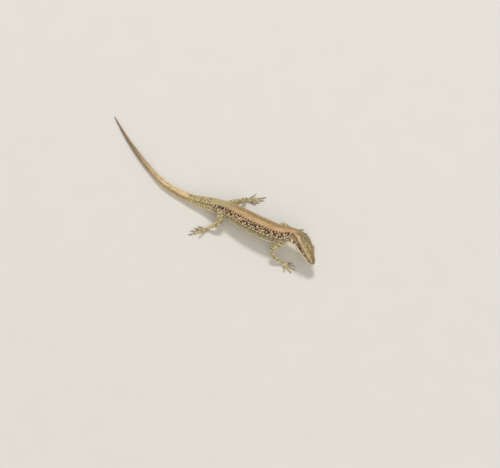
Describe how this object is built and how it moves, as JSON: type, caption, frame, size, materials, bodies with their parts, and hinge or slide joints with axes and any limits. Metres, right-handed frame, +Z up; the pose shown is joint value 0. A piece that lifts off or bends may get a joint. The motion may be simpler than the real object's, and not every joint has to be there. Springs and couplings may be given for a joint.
{
  "type": "wall lizard, still life-size model",
  "caption": "Life-size still model of a wall lizard with a regrown tail, head raised and turned to its right, standing on four splayed feet with the tail laid on the floor behind.",
  "frame": {"origin": "on the floor, under the middle of the whole animal's box, tail and feet included", "axes": "+X forward along the trunk, +Y to the animal's left, +Z up"},
  "size_m": [0.148, 0.0526, 0.0131],
  "materials": {
    "skin": "dry scaly skin, olive brown above with dark netted flanks and a pale belly",
    "scales": "fine satin scales marked as the skin under them",
    "shields": "smooth satin head shields",
    "belly_plates": "smooth pale overlapping plates",
    "eye": "wet dark eye with a golden brown iris",
    "eardrum": "thin dark skin stretched over the ear opening",
    "claw": "dark horn"
  },
  "bodies": {
    "root": {"head": "skin", "lower_jaw": "skin", "neck": "skin", "chest": "skin", "belly": "skin", "pelvis": "skin", "tail_base": "skin", "tail_middle": "skin", "tail_rear": "skin", "tail_tip": "skin", "upper_arm_left": "skin", "forearm_left": "skin", "hand_left": "skin", "thigh_left": "skin", "shank_left": "skin", "foot_left": "skin", "upper_arm_right": "skin", "forearm_right": "skin", "hand_right": "skin", "thigh_right": "skin", "shank_right": "skin", "foot_right": "skin", "eye_left": "eye", "eardrum_left": "eardrum", "eye_right": "eye", "eardrum_right": "eardrum"}
  },
  "joints": []
}
